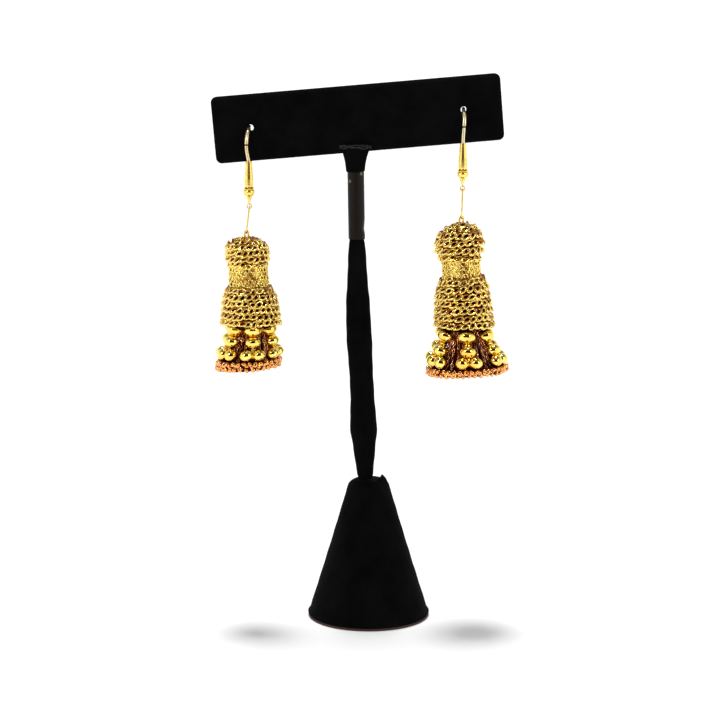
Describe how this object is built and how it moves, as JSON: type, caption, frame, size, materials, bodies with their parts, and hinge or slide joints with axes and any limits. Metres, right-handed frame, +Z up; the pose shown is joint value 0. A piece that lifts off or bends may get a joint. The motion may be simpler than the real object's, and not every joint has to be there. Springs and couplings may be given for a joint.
{
  "type": "pair of tassel earrings on a T-bar display stand",
  "caption": "Gold bead and chain tassel drops on French hooks, hanging from the holes of a velvet T-bar stand with a cone base; each drop swings.",
  "frame": {"origin": "middle of the stand's flat underside, on the surface that it stands on", "axes": "+Z up, +X to the right as seen from the front, the viewer on the -Y side"},
  "size_m": [0.0803, 0.0334, 0.1493],
  "materials": {
    "velvet_over_weight": "matte",
    "black_velvet": "matte",
    "post_plastic": "satin",
    "gold": "polished",
    "worn_gold": "satin"
  },
  "bodies": {
    "root": {"stand_base": "velvet_over_weight", "stand_post": "post_plastic", "post_sleeve": "black_velvet", "bar_clip": "black_velvet", "stand_bar": "black_velvet", "ear_hook_left": "gold", "hook_bell_left": "gold", "hook_bead_left": "gold", "ear_hook_right": "gold", "hook_bell_right": "gold", "hook_bead_right": "gold"},
    "drop_left": {"link_left": "gold", "drop_former_left": "worn_gold", "head_chain_left": "gold", "neck_mesh_left": "gold", "belt_chain_left": "gold", "inner_fringe_left": "worn_gold", "bead_strand_1_left": "gold", "bead_strand_2_left": "gold", "bead_strand_3_left": "gold", "bead_strand_4_left": "gold", "bead_strand_5_left": "gold", "bead_strand_6_left": "gold", "hem_beads_left": "worn_gold"},
    "drop_right": {"link_right": "gold", "drop_former_right": "worn_gold", "head_chain_right": "gold", "neck_mesh_right": "gold", "belt_chain_right": "gold", "inner_fringe_right": "worn_gold", "bead_strand_1_right": "gold", "bead_strand_2_right": "gold", "bead_strand_3_right": "gold", "bead_strand_4_right": "gold", "bead_strand_5_right": "gold", "bead_strand_6_right": "gold", "hem_beads_right": "worn_gold"}
  },
  "joints": [
    {"name": "left_drop_swing", "type": "hinge", "parent": "root", "child": "drop_left", "pos_m": [-0.03198, -0.0045, 0.1135], "axis": [1, 0, 0], "range_deg": [-90, 75]},
    {"name": "right_drop_swing", "type": "hinge", "parent": "root", "child": "drop_right", "pos_m": [0.02502, -0.0045, 0.11825], "axis": [1, 0, 0], "range_deg": [-90, 75]}
  ]
}
